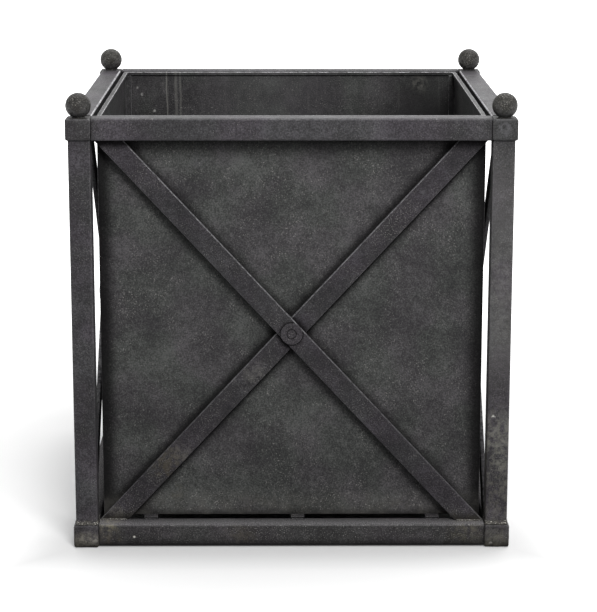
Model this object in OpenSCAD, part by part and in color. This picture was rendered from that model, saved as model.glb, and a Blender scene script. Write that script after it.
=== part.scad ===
// Versailles planter: a welded frame of square steel tube and flat bar, which stands on
// four corner blocks, with a loose sheet-metal liner that lifts out of it.
// The origin is on the floor under the middle. +Z is up and the front looks along -Y.

/* [Frame] */
// Width and depth over the corner blocks
frame_w = 508; // [300:1:900]
// Height from the floor to the top of the corner blocks
frame_h = 503; // [300:1:900]
// Outside width of the square tube
tube_w = 25.4; // [20:0.2:40]
// Wall of the square tube
tube_wall = 1.6; // [1.2:0.1:3]
// Outside corner radius of the square tube
tube_r = 2.6; // [1.6:0.1:4]

/* [Corner blocks] */
// How far the blocks stand proud of the tubes' outer faces
block_proud = 3; // [1:0.1:6]
// How far the blocks reach past the tubes' inner faces
block_lip = 1.2; // [0.4:0.1:3]
// Rounding of the blocks' edges
block_r = 2.8; // [0.5:0.1:3]
// Height of the bottom rails above the floor
foot_drop = 2; // [0.5:0.1:10]

/* [Ball finials] */
// Diameter of the balls
ball_d = 28; // [16:0.5:40]
// Diameter of the flat that each ball is seated on
ball_seat_d = 7; // [2:0.5:12]

/* [Braces] */
// Width of the flat bar
bar_w = 24; // [12:0.5:32]
// Thickness of the flat bar
bar_t = 5; // [3:0.5:8]
// Distance from the tubes' inner faces out to the back of the braces
bar_set_in = 1; // [0:0.5:4]
// Gap between the corner of a brace's end and the post
bar_post_gap = 1.5; // [0:0.5:10]
// Diameter of the disc on the crossing
disc_d = 25; // [16:0.5:50]
// Thickness of the disc
disc_t = 2.5; // [1.5:0.1:4]
// Diameter of the rivet's shank
rivet_d = 8; // [5:0.5:9]
// Diameter of the rivet's flat head
rivet_head_d = 9.8; // [9.5:0.1:15]
// Height of the rivet's flat head
rivet_head_t = 0.8; // [0.4:0.1:2]
// Diameter of the rivet's tail behind the braces
rivet_tail_d = 12; // [9.5:0.5:20]
// Height of the rivet's tail
rivet_tail_t = 2; // [1:0.1:3]
// Radial clearance of the rivet in its holes
rivet_clear = 0.1; // [0.05:0.01:0.25]

/* [Support slats] */
// Width of a slat
slat_w = 16; // [10:1:30]
// Thickness of a slat
slat_t = 3; // [2:0.5:10]
// How far a slat laps onto the bottom rails
slat_lap = 5; // [2:0.5:8]
// Distance from the liner's side to the middle of an outer slat
slat_inset = 55.5; // [40:0.5:80]
// How far the middle slat stands off the centre line
slat_shift = 7; // [-20:0.5:20]

/* [Liner] */
// Thickness of the liner's sheet
sheet_t = 1.2; // [0.8:0.1:2]
// Gap between the liner and the rails, all round
liner_gap = 5.1; // [4:0.1:15]
// Width of the rim that is folded inwards
rim_w = 5; // [4:0.5:15]
// Height of the rim's turned-down lip
rim_lip = 4; // [2.5:0.5:15]
// How far the rim lies below the top of the rails
rim_drop = 1; // [0:0.5:20]
// Width of the side walls' laps inside the corners
lap_w = 8; // [4:0.5:20]
// Height of the floor's turned-up edge
floor_turn_up = 12; // [5:0.5:30]
// Clearance between the liner's folded edges
fold_clear = 1; // [0.5:0.1:3]
// Diameter of the drain holes
drain_d = 12; // [5:0.5:25]
// Distance from the liner's sides to the middle of a drain hole
drain_inset = 130; // [100:1:145]

/* [Hidden] */
$fn = 64;
SIDES = ["front", "right", "back", "left"];
CORNERS = ["front_left", "front_right", "back_right", "back_left"];
SLATS = ["left", "middle", "right"];

block_w = block_proud + tube_w + block_lip;
block_axis = (frame_w - block_w) / 2;
tube_axis = (frame_w - tube_w) / 2 - block_proud;
tube_inner_r = max(tube_r - tube_wall, 0.2);
inner_face = tube_axis - tube_w / 2;

rail_len = frame_w - 2 * block_w;
low_rail_top = foot_drop + tube_w;
high_rail_z = frame_h - tube_w;
post_h = high_rail_z - low_rail_top;

ball_r = ball_d / 2;
ball_rise = sqrt(ball_r * ball_r - ball_seat_d * ball_seat_d / 4);

// A brace's ends are cut level, so its slope follows from its width and the clear opening.
brace_run = 2 * (inner_face - bar_post_gap);
brace_slope = atan2(post_h, brace_run)
    + asin(bar_w / sqrt(brace_run * brace_run + post_h * post_h));
brace_end = bar_w / sin(brace_slope);
brace_back = inner_face + bar_set_in;
brace_z = low_rail_top + post_h / 2;
rivet_hole_d = rivet_d + 2 * rivet_clear;
edge_break = 0.5;

liner_half = inner_face - liner_gap;
liner_z = low_rail_top + slat_t;
rim_z = frame_h - rim_drop;
liner_inside = liner_half - sheet_t;
lap_z = liner_z + sheet_t + floor_turn_up + fold_clear;
lap_top = rim_z - rim_lip - fold_clear;
slat_x = [slat_inset - liner_half, slat_shift, liner_half - slat_inset];
drain_at = liner_half - drain_inset;

// A rectangle with true round corners, centred on the origin.
module rounded_rect(w, h, r) {
    square([w, h - 2 * r], center = true);
    square([w - 2 * r, h], center = true);
    for (x = [r - w / 2, w / 2 - r], y = [r - h / 2, h / 2 - r])
        translate([x, y]) circle(r);
}

// Square tube that stands on the origin.
module tube(length) {
    linear_extrude(length)
        difference() {
            rounded_rect(tube_w, tube_w, tube_r);
            rounded_rect(tube_w - 2 * tube_wall, tube_w - 2 * tube_wall, tube_inner_r);
        }
}

// A prism through the front left corner block, seen along its axis.
module block_prism(width, height, length) {
    linear_extrude(length, center = true) rounded_rect(width, height, block_r);
}

// Solid corner block with every edge rounded: foot at the bottom, cap at the top.
module corner_block(z, h) {
    color("#4a4947")
        translate([-block_axis, -block_axis, z + h / 2])
            intersection() {
                block_prism(block_w, block_w, h);
                rotate([90, 0, 0]) block_prism(block_w, h, block_w);
                rotate([90, 0, 90]) block_prism(block_w, h, block_w);
            }
}

module post() {
    color("#464648") translate([-tube_axis, -tube_axis, low_rail_top]) tube(post_h);
}

module rail(z) {
    color("#464648")
        translate([-rail_len / 2, -tube_axis, z + tube_w / 2]) rotate([0, 90, 0]) tube(rail_len);
}

module ball() {
    color("#4d4a43")
        translate([-block_axis, -block_axis, frame_h])
            intersection() {
                translate([0, 0, ball_rise]) sphere(ball_r);
                translate([-ball_r, -ball_r, 0]) cube([ball_d, ball_d, ball_rise + ball_r]);
            }
}

// Puts what is drawn flat onto the braces' plane of the front, out from their back by y.
module on_brace_plane(y) {
    translate([0, -brace_back - y, brace_z]) rotate([90, 0, 0]) children();
}

// Flat bar from rail to rail. dir is 1 where it falls from the left to the right.
module brace(y, dir) {
    half = brace_run / 2;
    color("#414143")
        on_brace_plane(y)
            linear_extrude(bar_t)
                difference() {
                    polygon([
                        [-dir * half, post_h / 2],
                        [-dir * (half - brace_end), post_h / 2],
                        [dir * half, -post_h / 2],
                        [dir * (half - brace_end), -post_h / 2]
                    ]);
                    circle(d = rivet_hole_d);
                }
}

module brace_disc() {
    color("#434345")
        on_brace_plane(2 * bar_t)
            rotate_extrude()
                polygon([
                    [rivet_hole_d / 2, 0],
                    [disc_d / 2, 0],
                    [disc_d / 2, disc_t - edge_break],
                    [disc_d / 2 - edge_break, disc_t],
                    [rivet_hole_d / 2, disc_t]
                ]);
}

// One rivet through the disc and both bars, closed by a flat tail behind them.
module brace_rivet() {
    grip = 2 * bar_t + disc_t;
    color("#3c3c3e")
        on_brace_plane(0)
            rotate_extrude()
                polygon([
                    [0, -rivet_tail_t],
                    [rivet_tail_d / 2 - edge_break, -rivet_tail_t],
                    [rivet_tail_d / 2, edge_break - rivet_tail_t],
                    [rivet_tail_d / 2, 0],
                    [rivet_d / 2, 0],
                    [rivet_d / 2, grip],
                    [rivet_head_d / 2, grip],
                    [rivet_head_d / 2 - rivet_head_t / 2, grip + rivet_head_t],
                    [0, grip + rivet_head_t]
                ]);
}

// Flat bar across the bottom rails, under the liner.
module slat(x) {
    reach = inner_face + slat_lap;
    color("#3a3a3c")
        translate([x - slat_w / 2, -reach, low_rail_top]) cube([slat_w, 2 * reach, slat_t]);
}

// A strip of sheet along the front of the liner, mitred at both ends.
module mitred_strip(near, far, z, h) {
    translate([0, 0, z])
        linear_extrude(h)
            polygon([[-far, -far], [far, -far], [near, -near], [-near, -near]]);
}

// Front wall of the liner, with its rim folded inwards and down.
module liner_wall(with_laps) {
    rim_inside = liner_half - rim_w;
    lap_from = liner_inside + sheet_t / 2;
    lap_to = liner_inside - lap_w;
    color("#3b3b3e") {
        mitred_strip(liner_inside, liner_half, liner_z, rim_z - liner_z);
        mitred_strip(rim_inside, liner_half, rim_z - sheet_t, sheet_t);
        mitred_strip(rim_inside, rim_inside + sheet_t, rim_z - rim_lip, rim_lip);
        if (with_laps)
            for (m = [0, 1])
                mirror([m, 0, 0])
                    translate([liner_inside - sheet_t, -lap_from, lap_z])
                        cube([sheet_t, lap_from - lap_to, lap_top - lap_z]);
    }
}

// Tray-shaped floor of the liner, with drain holes.
module liner_floor() {
    turn_up = liner_inside - sheet_t;
    color("#37373a")
        difference() {
            union() {
                translate([-liner_inside, -liner_inside, liner_z])
                    cube([2 * liner_inside, 2 * liner_inside, sheet_t]);
                for (i = [0:3])
                    rotate(90 * i)
                        translate([fold_clear - turn_up, -liner_inside, liner_z])
                            cube([2 * (turn_up - fold_clear), sheet_t, sheet_t + floor_turn_up]);
            }
            for (x = [-drain_at, drain_at], y = [-drain_at, drain_at])
                translate([x, y, liner_z - sheet_t]) cylinder(h = 3 * sheet_t, d = drain_d);
        }
}

for (i = [0:3]) {
    rotate(90 * i) corner_block(0, low_rail_top);
    rotate(90 * i) post();
    rotate(90 * i) rail(foot_drop);
    rotate(90 * i) rail(high_rail_z);
    rotate(90 * i) corner_block(high_rail_z, tube_w);
    rotate(90 * i) ball();
    rotate(90 * i) brace(0, -1);
    rotate(90 * i) brace(bar_t, 1);
    rotate(90 * i) brace_disc();
    rotate(90 * i) brace_rivet();
    rotate(90 * i) liner_wall(i % 2 == 1);
}
for (i = [0:2])
    slat(slat_x[i]);
liner_floor();
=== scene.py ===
import math

import bmesh
import bpy
from mathutils import Matrix, Vector


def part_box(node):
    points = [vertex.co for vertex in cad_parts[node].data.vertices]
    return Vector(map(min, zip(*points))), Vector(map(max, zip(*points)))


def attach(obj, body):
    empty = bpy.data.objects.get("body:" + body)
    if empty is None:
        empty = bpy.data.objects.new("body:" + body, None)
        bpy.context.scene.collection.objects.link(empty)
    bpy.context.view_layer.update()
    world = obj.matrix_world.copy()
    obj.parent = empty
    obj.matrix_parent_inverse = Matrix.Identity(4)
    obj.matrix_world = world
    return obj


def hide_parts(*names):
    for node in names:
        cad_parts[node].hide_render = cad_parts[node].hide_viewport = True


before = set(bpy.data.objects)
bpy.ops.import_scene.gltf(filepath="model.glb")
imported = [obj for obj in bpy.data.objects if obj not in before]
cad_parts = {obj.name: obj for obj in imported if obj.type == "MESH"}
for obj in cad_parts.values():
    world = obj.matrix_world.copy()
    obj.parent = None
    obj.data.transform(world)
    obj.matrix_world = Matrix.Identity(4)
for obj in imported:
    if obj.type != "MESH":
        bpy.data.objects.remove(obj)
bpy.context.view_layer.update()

# ---------------------------------------------------------------------------------------
# The studio: the photographer's camera, in front of the planter and a little above it,
# a pale floor that fades into a white background, and large soft lamps.
# ---------------------------------------------------------------------------------------
PHOTO_HEIGHT_PX = 612
FOCAL_LENGTH_PX = 2143.4
SENSOR_MM = 36
CAMERA_AT = (-0.011, -2.6312, 0.8243)
CAMERA_TURN_DEG = (77.313, -0.052, -0.44)

scene = bpy.context.scene
scene.view_settings.view_transform = "Standard"

camera_data = bpy.data.cameras.new("camera")
camera_data.sensor_width = SENSOR_MM
camera_data.lens = FOCAL_LENGTH_PX / PHOTO_HEIGHT_PX * SENSOR_MM
camera = bpy.data.objects.new("camera", camera_data)
camera.location = CAMERA_AT
camera.rotation_euler = [math.radians(turn) for turn in CAMERA_TURN_DEG]
scene.collection.objects.link(camera)
scene.camera = camera


def linear(hex_colour):
    """The linear RGBA of an sRGB colour written as #rrggbb."""
    parts = [int(hex_colour[i:i + 2], 16) / 255 for i in (1, 3, 5)]
    return [c / 12.92 if c <= 0.04045 else ((c + 0.055) / 1.055) ** 2.4 for c in parts] + [1]


def add(tree, kind, inputs=None, stops=None, **settings):
    """Adds a node. An input is given a value, a hex colour, a socket that feeds it, or a node, whose
    first output in use feeds it."""
    node = tree.nodes.new("ShaderNode" + kind)
    for name, value in settings.items():
        setattr(node, name, value)
    for name, value in (inputs or {}).items():
        if isinstance(value, bpy.types.Node):
            value = next(output for output in value.outputs if output.enabled)
        if isinstance(value, bpy.types.NodeSocket):
            tree.links.new(value, node.inputs[name])
        else:
            node.inputs[name].default_value = linear(value) if isinstance(value, str) else value
    if stops:
        while len(node.color_ramp.elements) < len(stops):
            node.color_ramp.elements.new(0.5)
        for element, (position, colour) in zip(node.color_ramp.elements, stops):
            element.position = position
            element.color = linear(colour)
    return node


# Painted studio floor, matt and pale. Where the camera or a gloss sees it, it is nearly white and keeps
# the planter's soft shadow, which is lighter beside and behind the planter than in front, and it fades
# to plain white further out. The light it throws back is dimmer, as from a far, open floor. Lengths are in
# metres from the middle of the planter, and a lift is the glow added to the floor there.
FLOOR_REACH = 15
FLOOR_SEEN = "#dedede"
FLOOR_BOUNCE = "#606060"
BEHIND_FROM = -0.32
BEHIND_TO = -0.12
BEHIND_LIFT = 0.29
FRONT_FROM = -0.12
FRONT_TO = -0.20
CLOSE_BY = 0.09
CLOSE_LIFT = 0.07
CLOSE_LIFT_FRONT = 0.22
SHADED_HALF = 0.254
SHADED_EDGE = 0.012
FADE_FROM = 0.45
FADE_TO = 1.2
AMBIENT_LEVEL = 0.13

bpy.ops.object.select_all(action="DESELECT")
bpy.ops.mesh.primitive_plane_add(size=2 * FLOOR_REACH)
floor = bpy.context.object
floor.name = "studio_floor"
floor_paint = bpy.data.materials.new("matt_pale_floor_paint")
floor_paint.use_nodes = True
tree = floor_paint.node_tree
tree.nodes.clear()
ray = add(tree, "LightPath")
seen = add(tree, "Math", {0: ray.outputs["Is Camera Ray"], 1: ray.outputs["Is Glossy Ray"]},
           operation="MAXIMUM")
place = add(tree, "TexCoord").outputs["Object"]
axes = add(tree, "SeparateXYZ", {0: place})
across = add(tree, "Math", {0: axes.outputs[0]}, operation="ABSOLUTE")
along = add(tree, "Math", {0: axes.outputs[1]}, operation="ABSOLUTE")
out = add(tree, "Math", {0: across, 1: along}, operation="MAXIMUM")
behind = add(tree, "MapRange", {0: axes.outputs[1], 1: BEHIND_FROM, 2: BEHIND_TO, 3: 0.0, 4: BEHIND_LIFT})
clear = add(tree, "MapRange", {0: out, 1: SHADED_HALF - SHADED_EDGE, 2: SHADED_HALF, 3: 0.0, 4: behind})
in_front = add(tree, "MapRange", {0: axes.outputs[1], 1: FRONT_FROM, 2: FRONT_TO, 3: CLOSE_LIFT,
                                  4: CLOSE_LIFT + CLOSE_LIFT_FRONT})
close_by = add(tree, "MapRange", {0: out, 1: SHADED_HALF, 2: SHADED_HALF + CLOSE_BY, 3: 0.0, 4: in_front},
               interpolation_type="SMOOTHSTEP")
clear = add(tree, "Math", {0: clear, 1: close_by}, operation="ADD")
away = add(tree, "VectorMath", {0: place}, operation="LENGTH")
fade = add(tree, "MapRange", {0: away, 1: FADE_FROM, 2: FADE_TO, 3: 0.0, 4: 1.0})
lift = add(tree, "Math", {0: clear, 1: fade}, operation="ADD")
lift = add(tree, "Math", {0: seen, 1: lift}, operation="MULTIPLY")
colour = add(tree, "Mix", {0: seen, 6: FLOOR_BOUNCE, 7: FLOOR_SEEN}, data_type="RGBA")
matt = add(tree, "BsdfDiffuse", {"Color": colour})
white = add(tree, "Emission", {"Strength": lift})
both = add(tree, "AddShader", {0: matt, 1: white})
add(tree, "OutputMaterial", {"Surface": both})
floor.data.materials.append(floor_paint)

world = bpy.data.worlds.new("white_studio")
world.use_nodes = True
scene.world = world
tree = world.node_tree
tree.nodes.clear()
ray = add(tree, "LightPath")
seen = add(tree, "Math", {0: ray.outputs["Is Camera Ray"], 1: ray.outputs["Is Glossy Ray"]},
           operation="MAXIMUM")
seen = add(tree, "Math", {0: seen, 1: ray.outputs["Is Transmission Ray"]}, operation="MAXIMUM")
level = add(tree, "MapRange", {0: seen, 3: AMBIENT_LEVEL, 4: 1.0})
add(tree, "OutputWorld", {"Surface": add(tree, "Background", {"Color": "#ffffff", "Strength": level})})

# A softbox high in front and a little to the right, a wide bank of light overhead, and the glow of the
# lit backdrop, which glances off every face that looks up. A bank is (name, where its light comes from,
# strength, width in degrees).
SOFTBOX_AT = Vector((0.45, -2.15, 1.80))
SOFTBOX_AIM = Vector((0.0, 0.0, 0.30))
SOFTBOX_WATTS = 54
SOFTBOX_SIZE = (0.9, 0.9)
BANKS = [("overhead_bank", Vector((0.10, 0.35, 1.00)), 2.2, 60),
         ("backdrop_glow", Vector((0.35, 1.00, 0.30)), 0.2, 40)]
BANK_AWAY = 3

softbox_data = bpy.data.lights.new("softbox_front", "AREA")
softbox_data.energy = SOFTBOX_WATTS
softbox_data.shape = "RECTANGLE"
softbox_data.size, softbox_data.size_y = SOFTBOX_SIZE
softbox = bpy.data.objects.new("softbox_front", softbox_data)
softbox.location = SOFTBOX_AT
softbox.rotation_euler = (SOFTBOX_AT - SOFTBOX_AIM).to_track_quat("Z", "Y").to_euler()
scene.collection.objects.link(softbox)
for name, light_from, strength, size_deg in BANKS:
    bank_data = bpy.data.lights.new(name, "SUN")
    bank_data.energy = strength
    bank_data.angle = math.radians(size_deg)
    bank = bpy.data.objects.new(name, bank_data)
    bank.location = light_from * BANK_AWAY
    bank.rotation_euler = light_from.to_track_quat("Z", "Y").to_euler()
    scene.collection.objects.link(bank)

# ---------------------------------------------------------------------------------------
# Corner blocks: eight solid steel blocks, four as feet and four as caps, with their edges
# ground round. Everything else of the frame is welded to them.
# ---------------------------------------------------------------------------------------
MM = 0.001
CORNERS = ["front_left", "front_right", "back_right", "back_left"]
LOW_GLOSS = 0.12
BLOTCH_IN_FINE = 0.36
CLOUD_IN_TONE = 0.42
BLOTCH_IN_RELIEF = 0.35
WIDE_PAINTED_LIGHT_MM = 100
DRIP_SIZE = 5 * MM
DRIP_STRETCH = 0.06
DRIP_WANDER = 4 * MM

# Where some marks fade in, as (from, to): out from the planter's middle, towards the back, or up from the
# floor.
LINER_INSIDE = (220.0 * MM, 219.8 * MM)
BEHIND_POST = (197 * MM, 215 * MM)
PAST_LINER = (228 * MM, 244 * MM)
RAIL_INNER_EDGE = (229.5 * MM, 228.5 * MM)
BACK_WALL = (200 * MM, 210 * MM)
DRIPS_UP = (360 * MM, 500 * MM)
HANDLED_UP = (120 * MM, 300 * MM)
RAIL_TOP = (497 * MM, 499 * MM)


def blackened_steel(name, dark, middle, light, relief_mm=0.4, bloom="#9b9996", bloom_share=0.5,
                    rub_share=0.3, shade_reach_mm=14, painted_shade_share=0.85, dust="#6a665c", dust_below_mm=45,
                    dust_share=0.3, stains_and_painted_light=(), drips=(), bare_inner_edge=False, dull=0.52, waxed=0.36):
    """Mild steel under a dark chemical patina and a coat of wax: charcoal to the eye, finely grained and
    mottled in clouds, with a bloom of pale mineral grains, black painted shade in the recesses, upper edges
    rubbed to bare steel and dust near the ground. Its gloss is low, and shows where light glances off. dull
    and waxed are its roughness where the patina is darkest and lightest. A stain, or a patch of painted
    light or shade, is (x, y, z, radius, share, colour) and a drip down the liner's back wall (x, half
    width, share), in mm. A share over 1 makes the core of a stain solid."""
    material = bpy.data.materials.new(name)
    material.use_nodes = True
    tree = material.node_tree
    tree.nodes.clear()
    coordinates = add(tree, "TexCoord")
    place = coordinates.outputs["Object"]
    axes = add(tree, "SeparateXYZ", {0: place})

    # Noises, each with its own size in mm: the grain and specks of the patina, which are drawn a little
    # coarser than they are so that they show, then blotches, ragged rims, wear, patches of dust, bloom,
    # clouds, and the drift of the tint.
    noises = {}
    for use, size_mm, detail, roughness, seed in (
            ("grain", 1.7, 1.0, 0.5, 0.0), ("speck", 1.3, 0.0, 0.5, 5.2), ("blotch", 8, 4.0, 0.62, 3.1),
            ("ragged", 6, 4.0, 0.7, 17.0), ("wear", 4, 4.0, 0.75, 21.0), ("patch", 14, 4.0, 0.65, 33.0),
            ("bloom", 34, 5.0, 0.65, 41.0), ("cloud", 60, 5.0, 0.6, 7.7), ("drift", 60, 2.0, 0.5, 12.3)):
        moved = add(tree, "VectorMath", {0: place, 1: (seed, seed * 0.7, seed * 1.3)}, operation="ADD")
        noises[use] = add(tree, "TexNoise", {"Vector": moved, "Scale": 1 / (size_mm * MM), "Detail": detail,
                                             "Roughness": roughness})

    # Tone: dark, middle and light patina by grain, blotches and clouds.
    fine = add(tree, "Mix", {0: BLOTCH_IN_FINE, 2: noises["grain"], 3: noises["blotch"]})
    tone = add(tree, "Mix", {0: CLOUD_IN_TONE, 2: fine, 3: noises["cloud"]})
    colour = add(tree, "ValToRGB", {0: tone}, stops=[(0.39, dark), (0.5, middle), (0.61, light)])

    # Tint: from violet grey to green grey over a hand's width.
    drift = add(tree, "MapRange", {0: noises["drift"], 1: 0.4, 2: 0.6}, interpolation_type="SMOOTHSTEP")
    tint = add(tree, "Mix", {0: drift, 6: "#fef9fe", 7: "#fafefa"}, data_type="RGBA")
    colour = add(tree, "Mix", {0: 1.0, 6: colour, 7: tint}, data_type="RGBA", blend_type="MULTIPLY")

    # Bloom: pale grains of about 1 mm, thick in some places and near the ground, in a faint haze, and
    # a few paler crumbs.
    low = add(tree, "MapRange", {0: axes.outputs[2], 1: dust_below_mm * MM, 2: dust_below_mm * MM * 0.7},
              interpolation_type="SMOOTHSTEP")
    bloomed = add(tree, "MapRange", {0: noises["bloom"], 1: 0.40, 2: 0.68, 3: 0.25, 4: 1.0},
                  interpolation_type="SMOOTHSTEP")
    bloomed = add(tree, "Math", {0: low, 1: 0.5, 2: bloomed}, operation="MULTIPLY_ADD")
    grains = add(tree, "MapRange", {0: noises["speck"], 1: 0.60, 2: 0.80, 3: 0.0, 4: bloom_share})
    haze = add(tree, "Math", {0: grains, 1: 0.05 * bloom_share}, operation="ADD")
    crumbs = add(tree, "MapRange", {0: noises["speck"], 1: 0.73, 2: 0.79, 3: 0.0, 4: 0.6})
    haze = add(tree, "Math", {0: haze, 1: crumbs}, operation="MAXIMUM")
    haze = add(tree, "Math", {0: haze, 1: bloomed}, operation="MULTIPLY")
    colour = add(tree, "Mix", {0: haze, 6: colour, 7: bloom}, data_type="RGBA")

    # Stains, and patches of painted light and shade: the small ones are ragged, the ones wider than a hand
    # are even, and those wide ones are all painted light and shade.
    ragged = add(tree, "MapRange", {0: noises["ragged"], 1: 0.40, 2: 0.62}, interpolation_type="SMOOTHSTEP")
    for x, y, z, radius, share, mark_colour in stains_and_painted_light:
        away = add(tree, "VectorMath", {0: place, 1: (x * MM, y * MM, z * MM)}, operation="DISTANCE")
        near = add(tree, "MapRange", {0: away, 1: radius * MM, 2: radius * MM * 0.2, 3: 0.0, 4: share},
                   interpolation_type="SMOOTHSTEP")
        if radius < WIDE_PAINTED_LIGHT_MM:
            near = add(tree, "Math", {0: near, 1: ragged}, operation="MULTIPLY")
        colour = add(tree, "Mix", {0: near, 6: colour, 7: mark_colour}, data_type="RGBA")

    # Marks of the liner alone: drips down its inside, faint ones all round and plain ones on the back wall,
    # and outside, painted shade where it stands behind the posts.
    across = [add(tree, "Math", {0: axes.outputs[i]}, operation="ABSOLUTE") for i in (0, 1)]
    out = add(tree, "Math", {0: across[0], 1: across[1]}, operation="MAXIMUM")
    inside = add(tree, "MapRange", {0: out, 1: LINER_INSIDE[0], 2: LINER_INSIDE[1]})
    if drips:
        drawn = add(tree, "Mapping", {0: place, 3: (1.0, 1.0, DRIP_STRETCH)})
        drawn = add(tree, "TexNoise", {"Vector": drawn, "Scale": 1 / DRIP_SIZE, "Detail": 3.0,
                                       "Roughness": 0.6})
        streak = add(tree, "MapRange", {0: drawn, 1: 0.58, 2: 0.76, 3: 0.0, 4: 0.12})
        at_back = add(tree, "MapRange", {0: axes.outputs[1], 1: BACK_WALL[0], 2: BACK_WALL[1]})
        wander = add(tree, "MapRange", {0: noises["cloud"], 3: -DRIP_WANDER, 4: DRIP_WANDER})
        wander = add(tree, "Math", {0: axes.outputs[0], 1: wander}, operation="ADD")
        for x, half_width, share in drips:
            off = add(tree, "Math", {0: wander, 1: x * MM}, operation="SUBTRACT")
            off = add(tree, "Math", {0: off}, operation="ABSOLUTE")
            line = add(tree, "MapRange", {0: off, 1: half_width * MM, 2: half_width * MM * 0.2, 3: 0.0,
                                          4: share}, interpolation_type="SMOOTHSTEP")
            line = add(tree, "Math", {0: line, 1: at_back}, operation="MULTIPLY")
            streak = add(tree, "Math", {0: streak, 1: line}, operation="MAXIMUM")
        faded = add(tree, "MapRange", {0: axes.outputs[2], 1: DRIPS_UP[0], 2: DRIPS_UP[1], 3: 0.3, 4: 1.0})
        streak = add(tree, "Math", {0: streak, 1: faded}, operation="MULTIPLY")
        streak = add(tree, "Math", {0: streak, 1: inside}, operation="MULTIPLY")
        colour = add(tree, "Mix", {0: streak, 6: colour, 7: "#8e8d88"}, data_type="RGBA")
        post_shade = add(tree, "Math", {0: across[0], 1: across[1]}, operation="MINIMUM")
        post_shade = add(tree, "MapRange", {0: post_shade, 1: BEHIND_POST[0], 2: BEHIND_POST[1], 3: 0.0,
                                             4: painted_shade_share}, interpolation_type="SMOOTHSTEP")
        outside = add(tree, "Math", {0: 1.0, 1: inside}, operation="SUBTRACT")
        post_shade = add(tree, "Math", {0: post_shade, 1: outside}, operation="MULTIPLY")
        colour = add(tree, "Mix", {0: post_shade, 6: colour, 7: "#0c0b0c"}, data_type="RGBA")

    # Painted shade in the recesses, darker where less of the world around is open, left off inside the
    # liner and off faces that look up.
    facing = add(tree, "SeparateXYZ", {0: coordinates.outputs["Normal"]})
    lying = add(tree, "MapRange", {0: facing.outputs[2], 1: 0.75, 2: 0.95})
    open_share = add(tree, "AmbientOcclusion", {"Distance": shade_reach_mm * MM}, samples=8).outputs["AO"]
    painted_shade = add(tree, "MapRange", {0: open_share, 1: 0.99, 2: 0.66, 3: 0.0, 4: painted_shade_share},
                interpolation_type="SMOOTHSTEP")
    shade_spared = add(tree, "Math", {0: lying, 1: inside}, operation="MAXIMUM")
    shade_spared = add(tree, "MapRange", {0: shade_spared, 3: 1.0, 4: 0.15})
    painted_shade = add(tree, "Math", {0: painted_shade, 1: shade_spared}, operation="MULTIPLY")
    colour = add(tree, "Mix", {0: painted_shade, 6: colour, 7: "#080708"}, data_type="RGBA")

    # Dust near the ground: in patches, and thicker and grainy on faces that look up. Where the liner hangs
    # over them it is thinner, as dust kept off and as painted shade under the liner.
    patches = add(tree, "MapRange", {0: noises["patch"], 1: 0.42, 2: 0.68, 3: 0.25 * dust_share,
                                     4: dust_share}, interpolation_type="SMOOTHSTEP")
    settled = add(tree, "MapRange", {0: noises["speck"], 1: 0.40, 2: 0.64, 3: 0.15, 4: 0.9})
    uncovered_and_unshaded = add(tree, "MapRange", {0: out, 1: PAST_LINER[0], 2: PAST_LINER[1], 3: 0.2, 4: 1.0})
    settled = add(tree, "Math", {0: settled, 1: uncovered_and_unshaded}, operation="MULTIPLY")
    settled = add(tree, "Math", {0: settled, 1: lying}, operation="MULTIPLY")
    dusty = add(tree, "Math", {0: patches, 1: settled}, operation="MAXIMUM")
    dusty = add(tree, "Math", {0: dusty, 1: low}, operation="MULTIPLY")
    colour = add(tree, "Mix", {0: dusty, 6: colour, 7: dust}, data_type="RGBA")

    # Bare steel: the round corners of tubes and blocks and the eased edges marked as rubbed, where they
    # look up, less near the ground, and the inner edges of the side rails, which the liner rubs when it
    # is lifted.
    squarely = [add(tree, "Math", {0: facing.outputs[i]}, operation="ABSOLUTE") for i in range(3)]
    widest = add(tree, "Math", {0: squarely[0], 1: squarely[1]}, operation="MAXIMUM")
    widest = add(tree, "Math", {0: widest, 1: squarely[2]}, operation="MAXIMUM")
    corner = add(tree, "MapRange", {0: widest, 1: 0.98, 2: 0.85}, interpolation_type="SMOOTHSTEP")
    marked = add(tree, "Attribute", attribute_name="rubbed").outputs["Fac"]
    edge = add(tree, "Math", {0: corner, 1: marked}, operation="MAXIMUM")
    upward = add(tree, "MapRange", {0: facing.outputs[2], 1: -0.1, 2: 0.5, 3: 0.1, 4: rub_share})
    handled = add(tree, "MapRange", {0: axes.outputs[2], 1: HANDLED_UP[0], 2: HANDLED_UP[1], 3: 0.35,
                                     4: 1.0})
    upward = add(tree, "Math", {0: upward, 1: handled}, operation="MULTIPLY")
    if bare_inner_edge:
        high = add(tree, "MapRange", {0: axes.outputs[2], 1: RAIL_TOP[0], 2: RAIL_TOP[1]})
        within = add(tree, "MapRange", {0: out, 1: RAIL_INNER_EDGE[0], 2: RAIL_INNER_EDGE[1]})
        sideways = add(tree, "MapRange", {0: squarely[0], 1: 0.15, 2: 0.40})
        inner_edge = add(tree, "Math", {0: high, 1: within}, operation="MULTIPLY")
        inner_edge = add(tree, "Math", {0: inner_edge, 1: sideways}, operation="MULTIPLY")
        upward = add(tree, "Math", {0: upward, 1: inner_edge}, operation="MAXIMUM")
    worn = add(tree, "MapRange", {0: noises["wear"], 1: 0.36, 2: 0.60, 3: 0.15, 4: 1.0},
               interpolation_type="SMOOTHSTEP")
    worn = add(tree, "Math", {0: worn, 1: upward}, operation="MULTIPLY")
    worn = add(tree, "Math", {0: worn, 1: edge}, operation="MULTIPLY")
    colour = add(tree, "Mix", {0: worn, 6: colour, 7: "#bdbcbf"}, data_type="RGBA")

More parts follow.
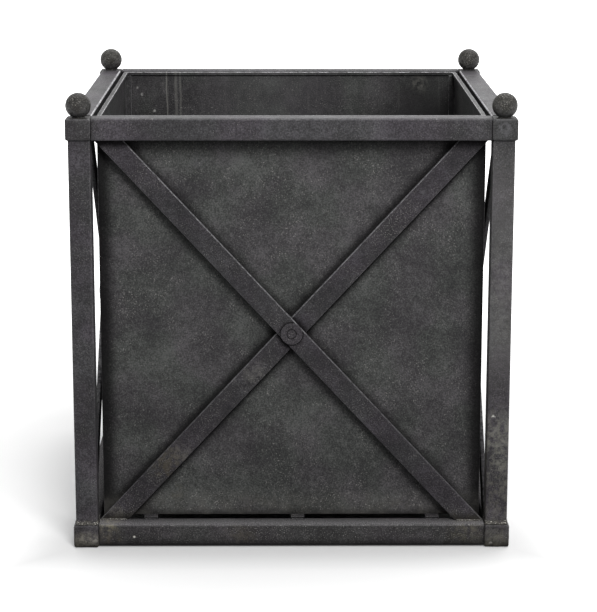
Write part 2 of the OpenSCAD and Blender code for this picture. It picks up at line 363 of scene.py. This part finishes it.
    # Gloss: waxed where the patina is light, and none where the painted shade lies.
    rough = add(tree, "MapRange", {0: fine, 1: 0.35, 2: 0.65, 3: dull, 4: waxed})
    if drips:
        painted_shade = add(tree, "Math", {0: painted_shade, 1: post_shade}, operation="MAXIMUM")
    rough = add(tree, "Mix", {0: painted_shade, 2: rough, 3: 1.0})

    # Relief: the same grain and blotches, as pits.
    relief = add(tree, "Mix", {0: BLOTCH_IN_RELIEF, 2: noises["grain"], 3: noises["blotch"]})
    bump = add(tree, "Bump", {"Strength": 1.0, "Distance": relief_mm * MM, "Height": relief})
    surface = add(tree, "BsdfPrincipled", {"Base Color": colour, "Metallic": worn, "Roughness": rough,
                                           "Normal": bump, "Specular IOR Level": LOW_GLOSS})
    add(tree, "OutputMaterial", {"Surface": surface})
    return material


# Solid steel, ground by hand, under the patina: charcoal, with pale dirt crusted on the front feet and a
# brownish film on top of the front caps.
block_steel = blackened_steel(
    "ground_blackened_steel_block", "#252425", "#383738", "#535254", dust_below_mm=20, dust_share=0.4,
    bloom_share=0.4, rub_share=0.15,
    stains_and_painted_light=[(-238, -254, 2, 22, 1.5, "#8a867e"), (-229, -254, 8, 8, 0.9, "#a5a19b"),
            (237, -254, 8, 26, 0.6, "#6d6b63"), (232, -254, 5, 3, 2.0, "#c5c3bd"),
            (238, -254, 492, 16, 0.4, "#77767a"), (-238, -243, 503, 12, 0.4, "#6e685c"),
            (238, -243, 503, 12, 0.4, "#6e685c")])

BLOCK_ROUND = 2.8 * MM
BLOCK_CUTS = 7
HAND_GRINDING = (9, 0.7)
SHARP_DEG = 40


def edit(piece):
    """Opens one piece in edit mode, with nothing in it selected."""
    bpy.ops.object.select_all(action="DESELECT")
    piece.select_set(True)
    bpy.context.view_layer.objects.active = piece
    bpy.ops.object.mode_set(mode="EDIT")
    bpy.ops.mesh.select_mode(type="FACE")
    bpy.ops.mesh.select_all(action="DESELECT")


def close(piece):
    """Leaves edit mode and hands the piece back."""
    bpy.ops.object.mode_set(mode="OBJECT")
    return piece


def placed(name):
    """Names the primitive just added and moves its place, turn and size into its mesh."""
    piece = bpy.context.object
    piece.name = name
    bpy.ops.object.transform_apply(location=True, rotation=True, scale=True)
    return piece


def box_between(name, low, high):
    """A cube primitive between two corners."""
    bpy.ops.object.select_all(action="DESELECT")
    bpy.ops.mesh.primitive_cube_add(size=1, location=(Vector(low) + Vector(high)) / 2)
    bpy.context.object.scale = Vector(high) - Vector(low)
    return placed(name)


def moved_copy(piece, name, matrix):
    """A copy with its own mesh, moved by the matrix."""
    copy = bpy.data.objects.new(name, piece.data.copy())
    scene.collection.objects.link(copy)
    copy.data.transform(matrix)
    return copy


def quarter_turn(turns):
    """The turn from the front, or the front left corner, to the next ones."""
    return Matrix.Rotation(math.radians(90 * turns), 4, "Z")


def apply_modifier(piece, kind, **settings):
    """Adds a modifier with its settings and applies it."""
    bpy.ops.object.select_all(action="DESELECT")
    piece.select_set(True)
    bpy.context.view_layer.objects.active = piece
    modifier = piece.modifiers.new("work", kind)
    for name, value in settings.items():
        setattr(modifier, name, value)
    bpy.ops.object.modifier_apply(modifier=modifier.name)


def rounded(width, segments):
    """Bevels every edge of the piece that is open in edit mode."""
    bpy.ops.mesh.select_all(action="SELECT")
    bpy.ops.mesh.bevel(offset=width, segments=segments, affect="EDGES")


def cut_up(cuts):
    """Cuts every face of the piece that is open in edit mode into small ones, which take a rough skin."""
    bpy.ops.mesh.select_all(action="SELECT")
    bpy.ops.mesh.subdivide(number_cuts=cuts)


def roughened(piece, kind, size_mm, depth_mm):
    """Works a texture into the mesh, inwards only. Its size and depth are in mm."""
    texture = bpy.data.textures.new(piece.name, kind)
    texture.noise_scale = size_mm * MM
    apply_modifier(piece, "DISPLACE", texture=texture, texture_coords="LOCAL", strength=depth_mm * MM,
                   mid_level=1.0)
    bpy.data.textures.remove(texture)


def finish(piece, material, slot, body, *replaced):
    """Smooths a piece, gives it its finish and fixes it to its body."""
    bpy.ops.object.select_all(action="DESELECT")
    piece.select_set(True)
    bpy.context.view_layer.objects.active = piece
    bpy.ops.object.shade_smooth_by_angle(angle=math.radians(SHARP_DEG))
    apply_modifier(piece, "WEIGHTED_NORMAL", keep_sharp=True)
    piece.data.materials.clear()
    piece.data.materials.append(material)
    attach(piece, body)
    if replaced:
        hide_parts(*replaced)


for kind in ("foot", "cap"):
    block = box_between(kind + "_block", *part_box(kind + "_front_left"))
    edit(block)
    rounded(BLOCK_ROUND, 3)
    cut_up(BLOCK_CUTS)
    close(block)
    for turns, corner in enumerate(CORNERS):
        piece = moved_copy(block, f"{kind}_block_{corner}", quarter_turn(turns))
        roughened(piece, "CLOUDS", *HAND_GRINDING)
        finish(piece, block_steel, "corner_block", "frame", f"{kind}_{corner}")
    bpy.data.objects.remove(block)

# ---------------------------------------------------------------------------------------
# Posts and rails: square steel tube, sawn to length and welded between the corner blocks.
# They are the CAD model's own solids, and get only their finish here.
# ---------------------------------------------------------------------------------------
SIDES = ["front", "right", "back", "left"]

# Posts and top rails are a little lighter than the bars. Down the right front post, wide pale washes are
# painted light, as from a lamp on its right, and the smaller pale marks lower on it are wear.
tube_steel = blackened_steel(
    "blackened_steel_tube", "#282729", "#3b393c", "#535155", bloom_share=0.4, dust_share=0.08,
    rub_share=0.08, bare_inner_edge=True,
    stains_and_painted_light=[(238, -251, 400, 100, 0.16, "#8d8c89"), (238, -251, 260, 100, 0.16, "#8d8c89"),
            (238, -251, 300, 95, 0.2, "#8d8c89"), (233, -251, 157, 3.4, 2.0, "#d2d1cb"),
            (242, -251, 123, 60, 0.5, "#8b8a80"), (240, -251, 62, 50, 0.4, "#76746b")])

# The front bottom rail is painted darker than the top rails, as painted shade low on the frame, where less
# light falls, with a grainy dust on top and brown dirt along its foot and at its ends.
low_tube_steel = blackened_steel(
    "dusty_blackened_steel_tube", "#1e1d1e", "#2c2b2c", "#424042", bloom_share=0.4, dust="#929092",
    dust_share=0.06, rub_share=0.2,
    stains_and_painted_light=[(-183.6, -251, 13, 2.2, 1.5, "#dad7cf"), (-213, -251, 10, 22, 0.5, "#625c50"),
            (-60, -251, 11, 26, 0.35, "#5c574d"), (205, -251, 13, 34, 0.4, "#5b584c"),
            (-213, -240, 27.4, 20, 1.0, "#8a8470"), (205, -240, 27.4, 22, 0.5, "#7a7666")])

# The bottom rails at the sides and at the back have the same painted shade, and thinner dust as more
# painted shade where the liner shades them. They have lost their wax, and are dull.
dull_tube_steel = blackened_steel(
    "dull_blackened_steel_tube", "#1e1d1e", "#2c2b2c", "#424042", bloom_share=0.4, dust="#929092",
    dust_share=0.03, rub_share=0.2, dull=1.0, waxed=0.9)


def dress(node_name, material):
    """Gives one of the CAD model's solids its finish."""
    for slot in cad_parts[node_name].material_slots:
        slot.material = material


for name in CORNERS:
    dress("post_" + name, tube_steel)
for name in SIDES:
    dress("bottom_rail_" + name, low_tube_steel if name == "front" else dull_tube_steel)
    dress("top_rail_" + name, tube_steel)

# ---------------------------------------------------------------------------------------
# Weld shoulders: a fillet of weld metal runs round the foot of each post, on top of the foot
# block. It is left as it was laid, rough and unground.
# ---------------------------------------------------------------------------------------
# Weld metal under the patina: lumpy and dark, dusted with pale grains.
weld_steel = blackened_steel("dusty_weld_bead", "#191817", "#312f2e", "#524f4b", relief_mm=0.8,
                             bloom="#d2cfc7", bloom_share=1.8, rub_share=0.2, painted_shade_share=0.5,
                             dust_below_mm=80, dust_share=0.2)
SHOULDER_INSET = 1.6 * MM
SHOULDER_ROOT = 1.0 * MM
SHOULDER_RISE = 6.0 * MM
SHOULDER_THROAT = 0.5 * MM
SHOULDER_BREAK = 0.8 * MM
SHOULDER_CUTS = 13
SHOULDER_LUMPS = (2.2, 1.5)


def select_faces(piece, wanted):
    """Selects the faces whose centre and normal pass the test, and no others."""
    mesh = bmesh.from_edit_mesh(piece.data)
    for face in mesh.faces:
        face.select_set(bool(wanted(face.calc_center_median(), face.normal)))
    bmesh.update_edit_mesh(piece.data)


foot_low, foot_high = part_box("foot_front_left")
post_low, post_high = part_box("post_front_left")
post_middle = (post_low + post_high) / 2
foot_width = foot_high.x - foot_low.x
post_width = post_high.x - post_low.x
inset = Vector((SHOULDER_INSET, SHOULDER_INSET, 0))
shoulder_middle = (foot_low + foot_high + inset) / 2
shoulder = box_between("weld_shoulder",
                       Vector((foot_low.x, foot_low.y, foot_high.z - SHOULDER_ROOT)) + inset,
                       Vector((foot_high.x, foot_high.y, foot_high.z + SHOULDER_RISE)))
edit(shoulder)
select_faces(shoulder, lambda centre, normal: normal.z > 0.9)
taper = (post_width + 2 * SHOULDER_THROAT) / (foot_width - SHOULDER_INSET)
bpy.ops.transform.resize(value=(taper, taper, 1), center_override=shoulder_middle)
bpy.ops.transform.translate(value=(post_middle.x - shoulder_middle.x, post_middle.y - shoulder_middle.y, 0))
rounded(SHOULDER_BREAK, 1)
cut_up(SHOULDER_CUTS)
close(shoulder)
for turns, corner in enumerate(CORNERS):
    piece = moved_copy(shoulder, "weld_shoulder_" + corner, quarter_turn(turns))
    roughened(piece, "CLOUDS", *SHOULDER_LUMPS)
    finish(piece, weld_steel, "corner_block", "frame")
bpy.data.objects.remove(shoulder)

# ---------------------------------------------------------------------------------------
# Support slats: three thin flat bars from front to back on the bottom rails, which carry the
# liner. Their ends are tacked to the rails with a short bead of weld.
# ---------------------------------------------------------------------------------------
# Thin flat bar under the patina, dark and even: little dust gets to it under the liner, and its edges are
# rubbed.
slat_steel = blackened_steel("blackened_steel_slat", "#1d1c1e", "#29282a", "#3a393b", rub_share=0.4,
                             dust="#6e6b6c", dust_below_mm=60, dust_share=0.05)
SLAT_BREAK = 0.6 * MM
TACK_SHORTER = 2 * MM
TACK_WIDTH = 2.4 * MM
TACK_HEIGHT = 1.4 * MM
BEAD_LIFT = 0.5 * MM
BEAD_SIDES = 10
BEAD_PITCH = 1.5 * MM
BEAD_TIP = 0.6
BEAD_FIRST_SWELL = 1.55
BEAD_PINCH = 0.86
BEAD_SWELL = 1.16


def mark_rubbed(piece):
    """Marks the faces that are still selected from the last bevel as rubbed."""
    rubbed = piece.data.attributes.new("rubbed", "FLOAT", "FACE")
    for face, mark in zip(piece.data.polygons, rubbed.data):
        mark.value = 1.0 if face.select else 0.0


def weld_bead(name, length, width, height, place):
    """A rippled bead along X, extruded ring by ring from a small disc. The first ring swells out of it, the
    others are pinched and swollen in turn, and the last one closes in."""
    rings = max(4, round(length / BEAD_PITCH))
    pitch = length / rings
    bpy.ops.object.select_all(action="DESELECT")
    bpy.ops.mesh.primitive_circle_add(vertices=BEAD_SIDES, radius=0.5, fill_type="NGON",
                                      location=(-length / 2, 0, 0), rotation=(0, math.radians(90), 0))
    bpy.context.object.scale = (height * BEAD_TIP, width * BEAD_TIP, 1)
    bead = placed(name)
    edit(bead)
    bpy.ops.mesh.select_all(action="SELECT")
    for ring in range(rings):
        swell = BEAD_PINCH if ring % 2 else BEAD_SWELL
        if ring == 0:
            swell = BEAD_FIRST_SWELL
        if ring == rings - 1:
            swell = BEAD_TIP
        bpy.ops.mesh.extrude_region_move(TRANSFORM_OT_translate={"value": (pitch, 0, 0)})
        bpy.ops.transform.resize(value=(1, swell, swell),
                                 center_override=((ring + 1) * pitch - length / 2, 0, 0))
    bpy.ops.mesh.select_all(action="SELECT")
    bpy.ops.mesh.normals_make_consistent(inside=False)
    close(bead)
    bead.data.transform(place)
    return bead


def joined(name, parts):
    """Several parts made one piece."""
    bpy.ops.object.select_all(action="DESELECT")
    for part in parts:
        part.select_set(True)
    bpy.context.view_layer.objects.active = parts[0]
    bpy.ops.object.join()
    parts[0].name = name
    return parts[0]


for name in ("left", "middle", "right"):
    low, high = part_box("slat_" + name)
    piece = box_between("support_slat_" + name, low, high)
    edit(piece)
    rounded(SLAT_BREAK, 2)
    mark_rubbed(close(piece))
    finish(piece, slat_steel, "slat", "frame", "slat_" + name)
    beads = []
    for end_y in (low.y, high.y):
        place = Matrix.Translation(((low.x + high.x) / 2, end_y, low.z + BEAD_LIFT))
        beads.append(weld_bead("tack", high.x - low.x - TACK_SHORTER, TACK_WIDTH, TACK_HEIGHT, place))
    piece = joined("slat_tacks_" + name, beads)
    finish(piece, slat_steel, "slat", "frame")

# ---------------------------------------------------------------------------------------
# Braces: on each side two flat bars cross from rail to rail, one over the other. Their ends
# are cut level and welded to the rails, their long edges are rubbed, and the rivet's hole
# goes through both.
# ---------------------------------------------------------------------------------------
# Flat bar under the patina: dark, with rubbed edges that shine, a few pale smears and a brown one.
bar_steel = blackened_steel(
    "blackened_flat_bar", "#1b1a1d", "#2c2a2d", "#434145", rub_share=0.6, dust_share=0.2, bloom_share=0.5,
    stains_and_painted_light=[(-42, -231.6, 204, 20, 0.25, "#8b8984"), (-128, -231.6, 109, 20, 0.25, "#8a8780"),
            (-146, -231.6, 96, 30, 0.35, "#5e5747"), (-205, -231.6, 36, 12, 0.4, "#98958c"),
            (7, -236.6, 260, 4, 1.2, "#a5a3a5"), (150, -231.6, 417, 6, 0.35, "#77767a")])
BAR_WIDTH = 24 * MM
BAR_BREAK = 0.8 * MM
BAR_SPARE = 40 * MM
RIVET_HOLE = 8.2 * MM
BRACE_BEAD = 3.2 * MM
BRACE_BEAD_FLAT = 0.85
BRACE_BEAD_SHORTER = 3 * MM
BRACE_BEAD_PROUD = 0.1 * MM
BRACE_BEAD_LUMPS = (2.0, 0.35)

brace_low, brace_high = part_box("brace_under_front")
brace_run = brace_high.x - brace_low.x
brace_rise = brace_high.z - brace_low.z
diagonal = math.hypot(brace_run, brace_rise)
brace_slope = math.atan2(brace_rise, brace_run) + math.asin(BAR_WIDTH / diagonal)
brace_end = BAR_WIDTH / math.sin(brace_slope)

for layer, falls in (("under", -1), ("over", 1)):
    low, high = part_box(f"brace_{layer}_front")
    middle = (low + high) / 2
    bpy.ops.object.select_all(action="DESELECT")
    bpy.ops.mesh.primitive_cube_add(size=1, location=middle, rotation=(0, falls * brace_slope, 0))
    bpy.context.object.scale = (diagonal + BAR_SPARE, high.y - low.y, BAR_WIDTH)
    bar = placed("bar")
    edit(bar)
    bpy.ops.mesh.select_all(action="SELECT")
    bpy.ops.mesh.bisect(plane_co=low, plane_no=(0, 0, 1), use_fill=True, clear_inner=True)
    bpy.ops.mesh.select_all(action="SELECT")
    bpy.ops.mesh.bisect(plane_co=high, plane_no=(0, 0, 1), use_fill=True, clear_outer=True)
    rounded(BAR_BREAK, 2)
    mark_rubbed(close(bar))
    bpy.ops.mesh.primitive_cylinder_add(vertices=48, radius=RIVET_HOLE / 2, depth=4 * (high.y - low.y),
                                        location=middle, rotation=(math.radians(90), 0, 0))
    drill = placed("drill")
    apply_modifier(bar, "BOOLEAN", operation="DIFFERENCE", object=drill, solver="EXACT")
    bpy.data.objects.remove(drill)
    for turns, side in enumerate(SIDES):
        piece = moved_copy(bar, f"flat_bar_{layer}_{side}", quarter_turn(turns))
        finish(piece, bar_steel, "flat_bar", "frame", f"brace_{layer}_{side}")
    bpy.data.objects.remove(bar)

# Welds of the braces: a bead along the front of each end, on the bottom rail and under the top one.
for turns, side in enumerate(SIDES):
    beads = []
    for layer, falls in (("under", -1), ("over", 1)):
        low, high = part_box(f"brace_{layer}_front")
        for end_z, hand in ((low.z + BEAD_LIFT, falls), (high.z - BEAD_LIFT, -falls)):
            middle = Vector((hand * (brace_run - brace_end) / 2, low.y - BRACE_BEAD_PROUD, end_z))
            place = quarter_turn(turns) @ Matrix.Translation(middle)
            beads.append(weld_bead("bead", brace_end - BRACE_BEAD_SHORTER, BRACE_BEAD,
                                   BRACE_BEAD * BRACE_BEAD_FLAT, place))
    piece = joined("brace_welds_" + side, beads)
    roughened(piece, "CLOUDS", *BRACE_BEAD_LUMPS)
    finish(piece, weld_steel, "flat_bar", "frame")

# ---------------------------------------------------------------------------------------
# Discs and rivets: a round steel disc covers each crossing, and one rivet, hammered flat,
# holds disc and bars together. The disc is sunk a little round the rivet's head, which
# shows as a fine ring.
# ---------------------------------------------------------------------------------------
# Hammered steel under the bars' patina, hardly rubbed: dark, with edges that shine little.
disc_steel = blackened_steel("hammered_blackened_disc", "#1c1b1d", "#2e2c2f", "#454346", rub_share=0.1)
DISC_ROUND = 0.5 * MM
SINK_RADIUS = 5.8 * MM
SINK_DEPTH = 1.0 * MM
SINK_WALL = 0.15 * MM
SHANK_RADIUS = 4.0 * MM
HEAD_RADIUS = 4.9 * MM
HEAD_ROUND = 0.35 * MM
TAIL_RADIUS = 6.0 * MM
TAIL_ROUND = 0.5 * MM
CLOSE_ENOUGH = 0.1 * MM

disc_low, disc_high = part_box("brace_disc_front")
disc_radius = (disc_high.x - disc_low.x) / 2
disc_middle = (disc_low + disc_high) / 2
bpy.ops.object.select_all(action="DESELECT")
bpy.ops.mesh.primitive_cylinder_add(vertices=64, radius=disc_radius, depth=disc_high.y - disc_low.y,
                                    location=disc_middle, rotation=(math.radians(90), 0, 0))
disc = placed("disc")


def in_middle(centre):
    """True for a face whose centre is on the axis of the disc and the rivet."""
    return (centre - disc_middle).xz.length < CLOSE_ENOUGH


edit(disc)
select_faces(disc, lambda centre, normal: normal.y < -0.9)
bpy.ops.mesh.bevel(offset=DISC_ROUND, segments=3, affect="EDGES")
mark_rubbed(close(disc))
edit(disc)
select_faces(disc, lambda centre, normal: normal.y < -0.9 and in_middle(centre))
bpy.ops.mesh.inset(thickness=disc_radius - DISC_ROUND - SINK_RADIUS)
bpy.ops.mesh.inset(thickness=SINK_WALL, depth=-SINK_DEPTH)
bpy.ops.mesh.inset(thickness=SINK_RADIUS - SINK_WALL - RIVET_HOLE / 2)
select_faces(disc, lambda centre, normal: normal.y > 0.9 and in_middle(centre))
bpy.ops.mesh.inset(thickness=disc_radius - RIVET_HOLE / 2)
select_faces(disc, lambda centre, normal: abs(normal.y) > 0.9 and in_middle(centre))
bpy.ops.mesh.bridge_edge_loops()
bpy.ops.mesh.select_all(action="SELECT")
bpy.ops.mesh.normals_make_consistent(inside=False)
close(disc)

rivet_low, rivet_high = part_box("brace_rivet_front")
shank_front = disc_low.y + SINK_DEPTH
shank_back = brace_high.y
shank_middle = Vector((0, (shank_front + shank_back) / 2, disc_middle.z))
bpy.ops.object.select_all(action="DESELECT")
bpy.ops.mesh.primitive_cylinder_add(vertices=48, radius=SHANK_RADIUS, depth=shank_back - shank_front,
                                    location=shank_middle, rotation=(math.radians(90), 0, 0))
rivet = placed("rivet")
for start, end, radius, rounding in ((shank_front, rivet_low.y, HEAD_RADIUS, HEAD_ROUND),
                                     (shank_back, rivet_high.y, TAIL_RADIUS, TAIL_ROUND)):
    edit(rivet)
    select_faces(rivet, lambda centre, normal: in_middle(centre) and abs(centre.y - start) < CLOSE_ENOUGH)
    bpy.ops.mesh.extrude_region_move(TRANSFORM_OT_translate={"value": (0, 0, 0)})
    bpy.ops.transform.resize(value=(radius / SHANK_RADIUS, 1, radius / SHANK_RADIUS),
                             center_override=(0, start, disc_middle.z))
    bpy.ops.mesh.extrude_region_move(TRANSFORM_OT_translate={"value": (0, end - start, 0)})
    bpy.ops.mesh.bevel(offset=rounding, segments=3, affect="EDGES")
    close(rivet)

for turns, side in enumerate(SIDES):
    piece = moved_copy(disc, "crossing_disc_" + side, quarter_turn(turns))
    finish(piece, disc_steel, "flat_bar", "frame", "brace_disc_" + side)
    piece = moved_copy(rivet, "crossing_rivet_" + side, quarter_turn(turns))
    finish(piece, disc_steel, "rivet", "frame", "brace_rivet_" + side)
bpy.data.objects.remove(disc)
bpy.data.objects.remove(rivet)

# ---------------------------------------------------------------------------------------
# Ball finials: rough forged steel balls, hammered and pitted, each sunk a little into a ring
# of weld in the middle of its cap block.
# ---------------------------------------------------------------------------------------
# Forged steel, pitted: a warmer grey than the frame's, with pale grains, and no rubbed edges or dust.
ball_steel = blackened_steel("pitted_forged_ball", "#1f1e1d", "#33312f", "#4f4d4b", relief_mm=0.6,
                             rub_share=0.0, bloom="#b3b0a9", bloom_share=0.6, painted_shade_share=0.5,
                             dust_share=0.0)
BALL_SEAT_RING = 5.8 * MM
BALL_BEAD = 1.8 * MM
BALL_BEAD_LIFT = 0.2 * MM
BALL_SPARE = 0.65 * MM
BALL_SUNK = 0.45 * MM
BALL_DENTS = (6, 0.35)
BALL_PITS = (2.2, 0.35)
BALL_BEAD_LUMPS = (2.0, 0.7)

for corner in CORNERS:
    low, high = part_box("ball_" + corner)
    radius = (high.x - low.x) / 2
    middle = Vector(((low.x + high.x) / 2, (low.y + high.y) / 2, high.z - radius - BALL_SUNK))
    bpy.ops.object.select_all(action="DESELECT")
    bpy.ops.mesh.primitive_ico_sphere_add(subdivisions=6, radius=radius + BALL_SPARE, location=middle)
    piece = placed("ball_finial_" + corner)
    roughened(piece, "CLOUDS", *BALL_DENTS)
    roughened(piece, "VORONOI", *BALL_PITS)
    edit(piece)
    bpy.ops.mesh.select_all(action="SELECT")
    bpy.ops.mesh.bisect(plane_co=low, plane_no=(0, 0, 1), use_fill=True, clear_inner=True)
    close(piece)
    finish(piece, ball_steel, "ball", "frame", "ball_" + corner)
    bpy.ops.object.select_all(action="DESELECT")
    bpy.ops.mesh.primitive_torus_add(location=(middle.x, middle.y, low.z + BALL_BEAD_LIFT),
                                     major_radius=BALL_SEAT_RING, minor_radius=BALL_BEAD,
                                     major_segments=48, minor_segments=12)
    piece = placed("ball_weld_" + corner)
    roughened(piece, "CLOUDS", *BALL_BEAD_LUMPS)
    finish(piece, ball_steel, "ball", "frame")

# ---------------------------------------------------------------------------------------
# Liner: a box of folded sheet steel with a rim turned in and down, lapped inside its corners.
# It stands loose on the slats.
# ---------------------------------------------------------------------------------------
# Mild steel sheet under the patina, the lightest of the steels, in neutral greys. It has a black spot of
# painted shadow just below the front crossing, and inside its back wall pale drips, painted shade on its
# ends and painted light across its upper middle.
sheet_steel = blackened_steel(
    "blackened_sheet", "#2a2a2b", "#3f3f3f", "#575757", rub_share=1.0, shade_reach_mm=15, painted_shade_share=0.85,
    dust="#5c5a56", dust_below_mm=65, dust_share=0.4, bloom_share=0.25,
    stains_and_painted_light=[(-2, -220.5, 229, 8, 1.0, "#060606"), (-135, -220.5, 58, 14, 0.25, "#5d5849"),
            (-105, -220.5, 450, 12, 0.2, "#77767a"), (-20, 219.3, 470, 130, 0.2, "#605e61"),
            (-215, 219.3, 400, 100, 0.5, "#1b1a1b"), (190, 219.3, 420, 130, 0.85, "#1b1a1b"),
            (-203, 219.3, 481, 2.5, 1.4, "#8d8c8a"), (-197, 219.3, 472, 3, 1.2, "#8d8c8a"),
            (-181, 219.3, 450, 2.5, 1.6, "#9b9a97"), (172, 219.3, 487, 16, 0.5, "#6f6d68")],
    drips=[(-164.5, 1.3, 0.55), (-152.5, 3.0, 0.3), (-146.5, 2.0, 0.3)])
SHEET_BREAK = 0.5 * MM
MERGED_WITHIN = 0.01 * MM
FLAT_WITHIN_DEG = 0.5


def eased_copy(node_name, piece_name, width):
    """A merged copy of a solid with its sharp edges eased, and the eased edges marked as rubbed."""
    piece = bpy.data.objects.new(piece_name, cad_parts[node_name].data.copy())
    scene.collection.objects.link(piece)
    edit(piece)
    bpy.ops.mesh.customdata_custom_splitnormals_clear()
    bpy.ops.mesh.select_all(action="SELECT")
    bpy.ops.mesh.remove_doubles(threshold=MERGED_WITHIN)
    bpy.ops.mesh.dissolve_limited(angle_limit=math.radians(FLAT_WITHIN_DEG))
    bpy.ops.mesh.select_all(action="DESELECT")
    bpy.ops.mesh.edges_select_sharp(sharpness=math.radians(SHARP_DEG))
    bpy.ops.mesh.bevel(offset=width, segments=2, affect="EDGES")
    mark_rubbed(close(piece))
    return piece


for side in SIDES:
    piece = eased_copy("liner_wall_" + side, "liner_sheet_" + side, SHEET_BREAK)
    finish(piece, sheet_steel, "liner_sheet", "liner", "liner_wall_" + side)
dress("liner_floor", sheet_steel)
